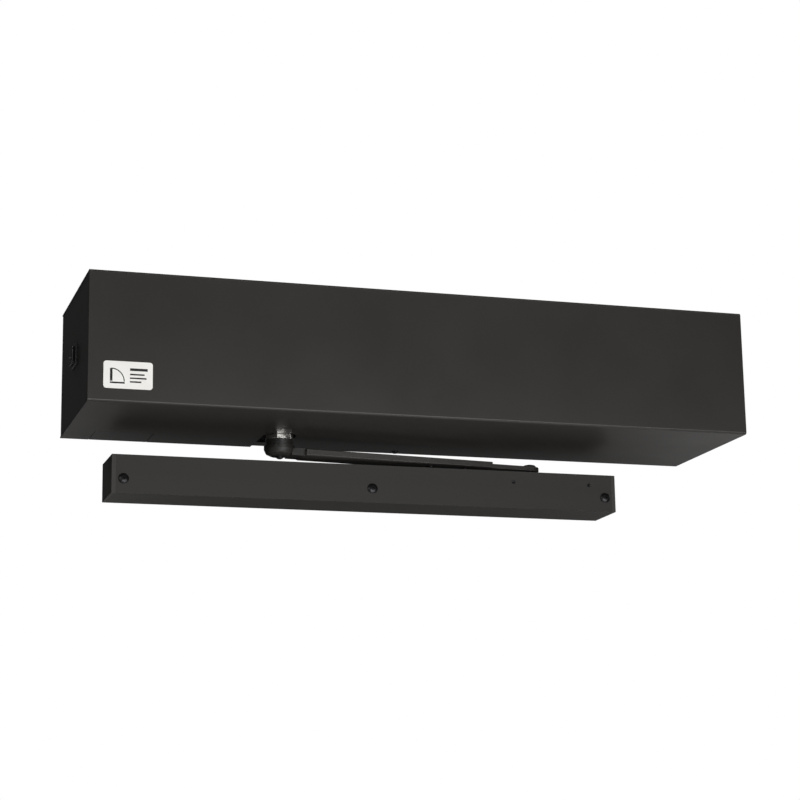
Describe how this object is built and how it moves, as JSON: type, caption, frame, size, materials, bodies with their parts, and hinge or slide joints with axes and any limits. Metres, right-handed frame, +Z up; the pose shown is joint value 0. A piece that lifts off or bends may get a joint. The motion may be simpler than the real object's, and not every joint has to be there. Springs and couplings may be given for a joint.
{
  "type": "power door operator",
  "caption": "Surface-mounted power door operator: box header with a spring closer and gearmotor, lever arm below it and a slide track that screws to the door.",
  "frame": {"origin": "centre of the four wall bolts, on the wall face of the back plate", "axes": "+X along the header towards the latch side, +Y into the wall, +Z up"},
  "size_m": [0.6907, 0.1978, 0.1972],
  "materials": {
    "bronze_paint": "satin powder coat",
    "zinc_steel": "zinc plated",
    "bright_steel": "ground and plated",
    "machined_steel": "turned, oiled",
    "black_steel": "black oxide",
    "spring_steel": "shot peened",
    "casting_grey": "as cast, painted",
    "bronze_bush": "sintered",
    "seal_rubber": "moulded",
    "plate_white": "printed laminate",
    "switch_black": "moulded nylon",
    "board_green": "solder mask",
    "terminal_green": "moulded",
    "relay_blue": "moulded",
    "capacitor_sleeve": "shrink sleeve",
    "dial_white": "moulded",
    "anodised_black": "black anodised",
    "core_iron": "varnished laminations",
    "winding_tape": "polyester tape",
    "tin_plate": "tinned brass",
    "lead_grey": "PVC jacket",
    "nylon_shoe": "moulded acetal",
    "cap_plastic": "moulded, colour matched"
  },
  "bodies": {
    "header": {"back_plate": "bronze_paint", "cover": "bronze_paint", "cover_infill": "bronze_paint", "end_cap_left": "bronze_paint", "end_cap_right": "bronze_paint", "end_cap_screws": "zinc_steel", "cover_screws": "black_steel", "maker_plate": "plate_white", "switch_body": "switch_black", "switch_terminals": "tin_plate", "closer_casting": "casting_grey", "end_plug_left": "machined_steel", "end_plug_right": "machined_steel", "regulating_valves": "bright_steel", "upper_bush": "bronze_bush", "lower_bush": "bronze_bush", "spindle_seal": "seal_rubber", "closer_spring": "spring_steel", "spring_adjuster": "machined_steel", "gearbox": "zinc_steel", "motor_can": "black_steel", "motor_bracket": "zinc_steel", "bracket_screws": "zinc_steel", "transformer_core": "core_iron", "transformer_winding": "winding_tape", "transformer_straps": "zinc_steel", "control_board": "board_green", "board_standoffs": "tin_plate", "board_screws": "zinc_steel", "relays": "relay_blue", "capacitors": "capacitor_sleeve", "terminal_strip": "terminal_green", "heat_sink": "anodised_black", "setting_dials": "dial_white", "motor_socket": "dial_white", "motor_lead": "lead_grey", "switch_lead": "lead_grey"},
    "rocker": {"switch_rocker": "switch_black"},
    "arm": {"spindle_pinion": "machined_steel", "drive_gear": "machined_steel", "spindle_collar": "bright_steel", "arm_hub": "bronze_paint", "arm_sleeve": "bronze_paint", "arm_rod": "bronze_paint", "hub_screw": "black_steel", "clamp_screws": "black_steel", "pivot_stud": "black_steel"},
    "piston": {"rack_piston": "machined_steel"},
    "motor_output": {"motor_pinion": "bronze_bush", "motor_shaft": "machined_steel"},
    "shoe": {"slide_shoe": "nylon_shoe"},
    "track": {"track_rail": "bronze_paint", "track_cap_left": "cap_plastic", "track_cap_right": "cap_plastic", "track_screws": "black_steel", "stop_screws": "black_steel", "track_stop": "nylon_shoe", "stop_bumper": "seal_rubber"}
  },
  "joints": [
    {"name": "arm_swing", "type": "hinge", "parent": "header", "child": "arm", "pos_m": [-0.127, -0.06, -0.078], "axis": [0, 0, -1], "range_deg": [0, 150], "stiffness_Nm_per_rad": 6, "springref_deg": -34.38},
    {"name": "piston_slide", "type": "slide", "parent": "header", "child": "piston", "axis": [1, 0, 0], "range_m": [-0.0005, 0.0325], "deforming": ["closer_spring"]},
    {"name": "motor_spin", "type": "hinge", "parent": "header", "child": "motor_output", "pos_m": [-0.127, -0.114, 0.045], "axis": [0, 0, -1], "range_deg": [-455, 5]},
    {"name": "rocker_tilt", "type": "hinge", "parent": "header", "child": "rocker", "pos_m": [-0.3395, -0.0925, -0.0015], "axis": [0, 0, 1], "range_deg": [-7, 7]},
    {"name": "shoe_swivel", "type": "hinge", "parent": "arm", "child": "shoe", "pos_m": [0.15726, -0.0285, -0.1], "axis": [0, 0, 1], "range_deg": [-30, 100]},
    {"name": "track_slide", "type": "slide", "parent": "shoe", "child": "track", "axis": [1, 0, 0], "range_m": [-0.008, 0.43]}
  ],
  "couplings": [
    {"joint": "piston_slide", "follows": "arm_swing", "m_per_rad": 0.012},
    {"joint": "motor_spin", "follows": "arm_swing", "ratio": -3}
  ]
}
